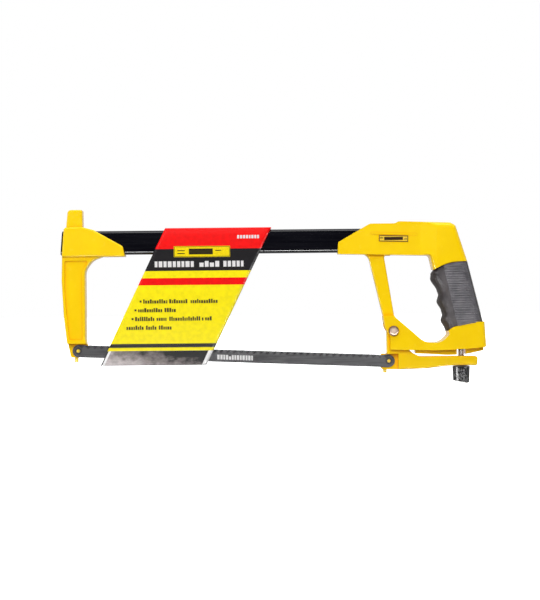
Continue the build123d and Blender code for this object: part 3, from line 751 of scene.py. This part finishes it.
def make_card(material):
    """The folded card around tube and blade, slanted at both ends."""
    loop = sleeve_loop()
    steps = 34
    vertices = []
    for i in range(steps + 1):
        share = i / steps
        for side, z in loop:
            x = card_edge(z) + CARD_WIDTH * share
            y = -card_front(x, z) * side
            vertices.append(at(x, y, z))
    faces = ring_faces(steps + 1, len(loop), closed_ends=False)
    faces = [tuple(reversed(face)) for face in faces]
    card = add_piece("card_printed", vertices, faces, material, "card")
    thick = card.modifiers.new("thickness", "SOLIDIFY")
    thick.thickness = CARD_THICK * MM
    thick.offset = 1.0
    smooth_by_angle(card, 40)
    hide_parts("card_sleeve")


def card_stock():
    """Printed and varnished card: bands of colour by height, and a dull mirrored strip along the fold,
    coloured with a painted reflection.
    """
    material, tree, shader = new_material("card_varnished", 0.3, specular=0.2)
    place = places(tree)
    parts = node(tree, "SeparateXYZ", {0: place})
    low, high = FRONT_PIN.z + CARD_FOOT * MM, FRONT_PIN.z + BANDS_TOP * MM
    height = node(tree, "MapRange", {0: parts.outputs["Z"], 1: low, 2: high}).outputs[0]
    ramp = node(tree, "ValToRGB", {0: height})
    ramp.color_ramp.interpolation = "CONSTANT"
    stops = ramp.color_ramp.elements
    while len(stops) < len(CARD_BANDS):
        stops.new(1.0)
    for stop, (start, colour) in zip(stops, CARD_BANDS):
        stop.position = (start - CARD_FOOT) / (BANDS_TOP - CARD_FOOT)
        stop.color = (*CARD_COLOURS[colour], 1)
    tint = node(tree, "MapRange", {0: grain(tree, 260, 4), 1: 0.3, 2: 0.7, 3: 0.92, 4: 1.06})
    printed = node(
        tree, "Mix", {0: 1.0, 6: ramp.outputs[0], 7: tint.outputs[0]},
        data_type="RGBA", blend_type="MULTIPLY",
    )
    # the strip's colour is a painted reflection
    strip = strip_painted_reflection(tree, parts)
    strip_top = FRONT_PIN.z + STRIP_TOP * MM
    on_strip = node(tree, "Math", {0: parts.outputs["Z"], 1: strip_top}, operation="LESS_THAN")
    colour = node(
        tree, "Mix", {0: on_strip.outputs[0], 6: printed.outputs[2], 7: strip}, data_type="RGBA"
    )
    tree.links.new(colour.outputs[2], shader.inputs["Base Color"])
    bump(tree, shader, grain(tree, 90, 2), 0.12)
    return material


def strip_painted_reflection(tree, parts):
    """Colour of the strip along the fold, a painted reflection: pale and mottled at the left, black to the
    right and the top.
    """
    start = FRONT_PIN.x + (CARD_LEFT - CARD_RAKE * TUBE_TOP) * MM - CARD_RAKE * FRONT_PIN.z
    lean = node(tree, "Math", {0: parts.outputs["Z"], 1: -CARD_RAKE}, operation="MULTIPLY")
    along = node(tree, "Math", {0: parts.outputs["X"], 1: lean.outputs[0]}, operation="ADD")
    share = node(
        tree, "MapRange", {0: along.outputs[0], 1: start, 2: start + CARD_WIDTH * MM}, clamp=False
    ).outputs[0]
    # painted reflection: darker to the right and towards the top
    rise = node(
        tree, "MapRange",
        {0: parts.outputs["Z"], 1: FRONT_PIN.z + CARD_FOOT * MM, 2: FRONT_PIN.z, 3: 0.0, 4: 0.55},
    ).outputs[0]
    dark = node(tree, "Math", {0: share, 1: rise}, operation="ADD")
    mottle = node(tree, "Math", {0: dark.outputs[0], 1: grain(tree, 170, 5, (1, 1, 1.6))}, operation="ADD")
    shade = node(tree, "MapRange", {0: mottle.outputs[0], 1: 0.6, 2: 1.9})
    ramp = node(tree, "ValToRGB", {0: shade.outputs[0]})
    stops = ramp.color_ramp.elements
    stops[0].color = (0.62, 0.56, 0.56, 1)
    stops[1].position = 0.72
    stops[1].color = (0.004, 0.004, 0.004, 1)
    middle_stop = stops.new(0.42)
    middle_stop.color = (0.20, 0.17, 0.165, 1)
    left = node(tree, "Math", {0: share, 1: 0.035}, operation="LESS_THAN")
    right = node(tree, "Math", {0: share, 1: 0.955}, operation="GREATER_THAN")
    edge = node(tree, "Math", {0: left.outputs[0], 1: right.outputs[0]}, operation="MAXIMUM")
    white = node(
        tree, "Mix", {0: edge.outputs[0], 6: ramp.outputs[0], 7: (0.85, 0.84, 0.84, 1)}, data_type="RGBA"
    )
    fold = node(tree, "Math", {0: share, 1: 0.012}, operation="LESS_THAN")
    lined = node(
        tree, "Mix", {0: fold.outputs[0], 6: white.outputs[2], 7: (0.03, 0.028, 0.03, 1)}, data_type="RGBA"
    )
    return lined.outputs[2]


INK_LIFT = 0.03
INK_THICK = 0.03


def ink_block(vertices, faces, surface, x0, x1, z0, z1, cell=4.0):
    """Adds one closed slab of ink that follows a surface: surface(x, z, lift) gives its place."""
    columns = max(1, math.ceil((x1 - x0) / cell))
    rows = max(1, math.ceil((z1 - z0) / cell))
    start = len(vertices)
    for lift in (INK_LIFT + INK_THICK, -0.1):
        for i in range(columns + 1):
            for j in range(rows + 1):
                x = x0 + (x1 - x0) * i / columns
                z = z0 + (z1 - z0) * j / rows
                vertices.append(surface(x, z, lift))
    under = start + (columns + 1) * (rows + 1)

    def index(i, j, base):
        return base + i * (rows + 1) + j

    for i in range(columns):
        for j in range(rows):
            square = ((i, j), (i + 1, j), (i + 1, j + 1), (i, j + 1))
            faces.append(tuple(index(a, b, start) for a, b in square))
            faces.append(tuple(index(a, b, under) for a, b in reversed(square)))
    for i in range(columns):
        for j, flip in ((0, False), (rows, True)):
            side = (index(i, j, under), index(i + 1, j, under), index(i + 1, j, start), index(i, j, start))
            faces.append(tuple(reversed(side)) if flip else side)
    for j in range(rows):
        for i, flip in ((0, True), (columns, False)):
            side = (index(i, j, under), index(i, j + 1, under), index(i, j + 1, start), index(i, j, start))
            faces.append(tuple(reversed(side)) if flip else side)


def on_card(x, z, lift):
    return at(x, card_front(x, z, lift), z)


def letter_blocks(start, end, low, high, letter, gap, seed, short=0.65):
    """Blocks in a row, some of them lower, which stand for a word without spelling one."""
    rng = random.Random(seed)
    blocks = []
    x = start
    while x + letter * 0.6 < end:
        width = min(letter * rng.uniform(0.7, 1.15), end - x)
        top = high if rng.random() > short else high - (high - low) * 0.28
        blocks.append((x, x + width, low, top))
        x += width + gap
    return blocks


CARD_LINES = [
    # left, right, bottom, top, words' ends as shares
    (63.5, 137.0, 45.2, 49.2, (0.34, 0.62, 1.0)),
    (58.5, 97.0, 36.8, 40.8, (0.66, 1.0)),
    (55.5, 132.0, 28.4, 32.4, (0.27, 0.43, 0.84, 0.88, 1.0)),
    (47.0, 93.0, 20.0, 24.0, (0.41, 0.68, 1.0)),
]


def make_card_print():
    """Generic marks where the card carries its wording: blocks, dots and a plain badge."""
    dark = ink("ink_dark", (0.045, 0.030, 0.003), 0.4)
    white = ink("ink_white", (0.85, 0.83, 0.83), 0.4)
    yellow = ink("ink_yellow", (0.98, 0.74, 0.0), 0.35)
    groups = {"card_ink_dark": (dark, []), "card_ink_white": (white, []), "card_ink_yellow": (yellow, [])}
    lines = groups["card_ink_dark"][1]
    seed = 1
    for left, right, low, high, ends in CARD_LINES:
        start = left
        for end in ends:
            stop = left + (right - left) * end
            lines += letter_blocks(start, stop - 1.6, low, high, 1.75, 0.55, seed)
            start = stop
            seed += 1
    for x, z in ((61.0, 47.2), (56.0, 38.8), (53.0, 30.4)):
        lines.append((x - 0.95, x + 0.95, z - 0.95, z + 0.95))
    title = groups["card_ink_white"][1]
    for start, stop in ((75.0, 114.0), (118.0, 140.0), (141.0, 162.0)):
        title += letter_blocks(start, stop, 80.0, 85.6, 3.5, 1.2, seed, short=0.1)
        seed += 1
    title += letter_blocks(154.5, 175.5, 107.0, 110.2, 2.0, 0.8, seed, short=0.0)
    groups["card_ink_yellow"][1].append((93.5, 147.5, 89.5, 100.0))
    for name, (material, blocks) in groups.items():
        vertices, faces = [], []
        for block in blocks:
            ink_block(vertices, faces, on_card, *block)
        add_piece(name, vertices, faces, material, "card", smooth=False)


def on_badge(x, z, lift):
    return at(x, card_front(x, z, lift + 0.06), z)


def make_badge_marks():
    """A thin frame and four plain bars on the card's badge."""
    material = ink("ink_badge", (0.03, 0.022, 0.003), 0.4)
    blocks = [
        (93.9, 147.1, 99.2, 99.6), (93.9, 147.1, 89.9, 90.3),
        (93.9, 94.3, 90.3, 99.2), (146.7, 147.1, 90.3, 99.2),
        (97.0, 104.0, 95.3, 96.1), (133.5, 139.0, 95.3, 96.1),
        (108.0, 131.0, 92.0, 97.6), (97.0, 104.0, 92.6, 93.4),
    ]
    vertices, faces = [], []
    for block in blocks:
        ink_block(vertices, faces, on_badge, *block)
    add_piece("card_badge_marks", vertices, faces, material, "card", smooth=False)


def make_plate_mark():
    """A dark bar over the name plate's own, and a short dash at each side of it."""
    low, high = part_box("name_plate")
    centre = (low + high) / 2

    def on_plate(x, z, lift):
        return Vector((centre.x + x * MM, low.y - (lift - 0.1) * MM, centre.z + z * MM))

    vertices, faces = [], []
    for block in ((-9.0, 9.0, -1.5, 1.5), (-13.0, -10.2, 0.2, 1.0), (10.2, 13.0, -1.0, -0.2)):
        ink_block(vertices, faces, on_plate, *block)
    material = ink("ink_plate", (0.03, 0.012, 0.006), 0.4)
    add_piece("name_plate_mark", vertices, faces, material, "frame", smooth=False)


def main():
    bpy.context.scene.view_settings.view_transform = "Standard"
    make_camera()
    make_world()
    make_floor()
    make_lights()
    finish_nodes()
    make_blade(blade_paint())
    make_blade_print()
    panel = rubber("grip_panel", (0.062, 0.058, 0.066), (0.110, 0.104, 0.116), 0.6)
    # a darker copy of the rubber for the front and back bands, as painted shade
    band = rubber("grip_band_painted_shade", (0.016, 0.012, 0.014), (0.030, 0.024, 0.027), 0.5)
    make_grip(panel, band)
    make_screw(steel("screw_zinc_plate", (0.42, 0.42, 0.42), (0.70, 0.70, 0.69), 0.3))
    make_card(card_stock())
    make_card_print()
    make_badge_marks()
    make_plate_mark()


main()
